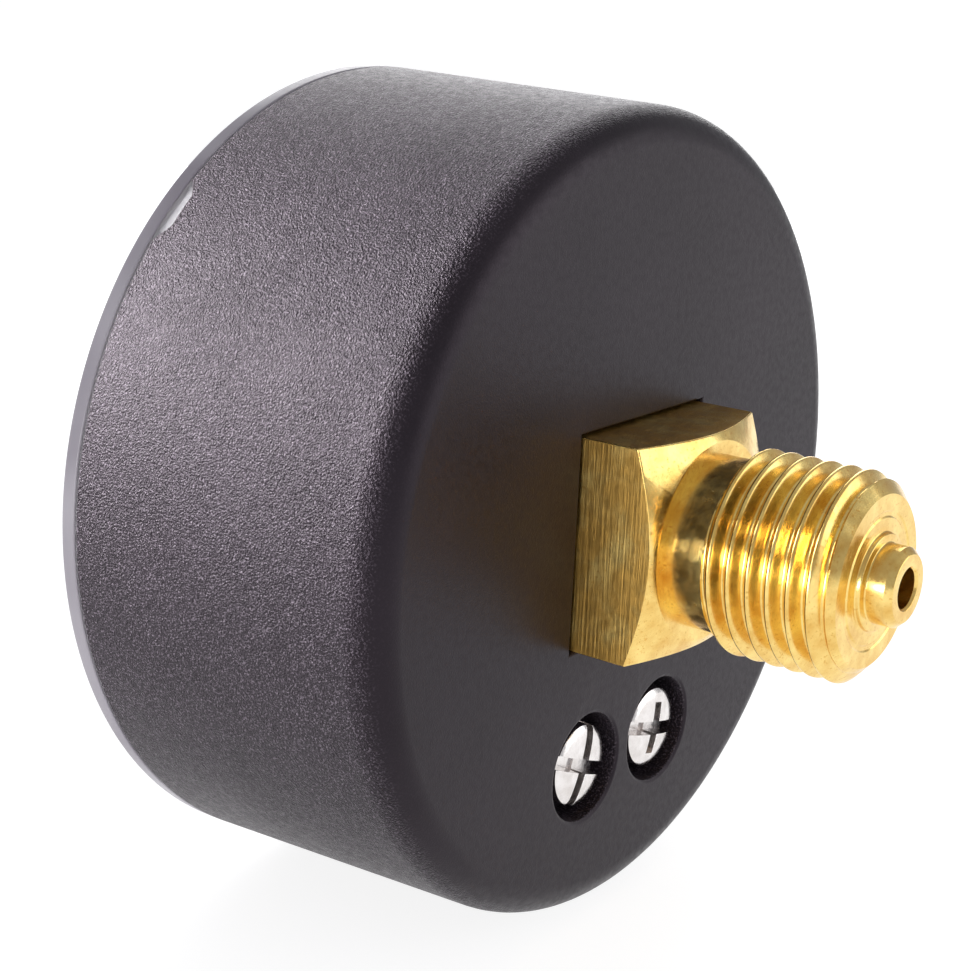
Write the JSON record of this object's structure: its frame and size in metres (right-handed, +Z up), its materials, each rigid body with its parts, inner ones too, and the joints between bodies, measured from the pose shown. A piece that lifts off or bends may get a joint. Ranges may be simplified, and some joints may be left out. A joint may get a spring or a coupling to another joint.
{
  "type": "pressure gauge",
  "caption": "Bourdon tube pressure gauge with a round black plastic case, clear window and a threaded brass connection at the centre of its back.",
  "frame": {"origin": "on the gauge axis, in the sealing face at the end of the threaded stub", "axes": "+Y along the connection, out of the back of the gauge, so the dial faces -Y; +Z up on the dial; +X right as the dial is read"},
  "size_m": [0.055, 0.044, 0.055],
  "materials": {
    "case_black": "fine spark-eroded grain, satin on the rear face",
    "window_clear": "clear polished plastic",
    "nickel_steel": "nickel-plated",
    "brass_turned": "turned, bare",
    "brass_sheet": "stamped sheet",
    "bronze_tube": "drawn tube",
    "bronze_spring": "rolled strip",
    "steel_plain": "ground",
    "dial_white": "white enamel, satin",
    "pointer_black": "black, satin"
  },
  "bodies": {
    "gauge": {"case": "case_black", "window": "window_clear", "case_screws": "nickel_steel", "socket": "brass_turned", "passage_plug": "brass_turned", "bourdon_tube": "bronze_tube", "hairspring_stud": "brass_turned", "movement_back_plate": "brass_sheet", "movement_front_plate": "brass_sheet", "movement_pillars": "brass_turned", "pillar_screws": "nickel_steel", "movement_screws": "nickel_steel", "dial": "dial_white", "dial_posts": "brass_turned", "dial_screws": "nickel_steel", "stop_pin": "steel_plain"},
    "sector": {"sector_gear": "brass_sheet", "sector_arbor": "steel_plain", "tail_link_pin": "steel_plain"},
    "pointer_shaft": {"pinion_arbor": "steel_plain", "pointer": "pointer_black", "pointer_hub": "pointer_black", "hairspring_collet": "brass_turned", "hairspring": "bronze_spring"},
    "tube_tip": {"tube_end_piece": "brass_turned", "tip_link_pin": "steel_plain"},
    "link_bar": {"link": "brass_sheet"}
  },
  "joints": [
    {"name": "sector_turn", "type": "hinge", "parent": "gauge", "child": "sector", "pos_m": [0.00525, -0.03175, -0.00909], "axis": [0, -1, 0], "range_deg": [0, 45]},
    {"name": "pointer_turn", "type": "hinge", "parent": "gauge", "child": "pointer_shaft", "pos_m": [0, -0.03175, 0], "axis": [0, 1, 0], "range_deg": [0, 270], "deforming": ["hairspring"]},
    {"name": "tip_travel", "type": "slide", "parent": "gauge", "child": "tube_tip", "axis": [0.4384, 0, 0.8988], "range_m": [0, 0.00303], "stiffness_N_per_m": 100, "springref_m": -0.002, "deforming": ["bourdon_tube"]},
    {"name": "link_swing", "type": "hinge", "parent": "tube_tip", "child": "link_bar", "pos_m": [0.01221, -0.03175, -0.00363], "axis": [0, 1, 0], "range_deg": [0, 2.6]}
  ],
  "couplings": [
    {"joint": "sector_turn", "follows": "tip_travel", "rad_per_m": 259.52},
    {"joint": "pointer_turn", "follows": "tip_travel", "rad_per_m": 1557.1},
    {"joint": "link_swing", "follows": "tip_travel", "rad_per_m": 14.676}
  ]
}
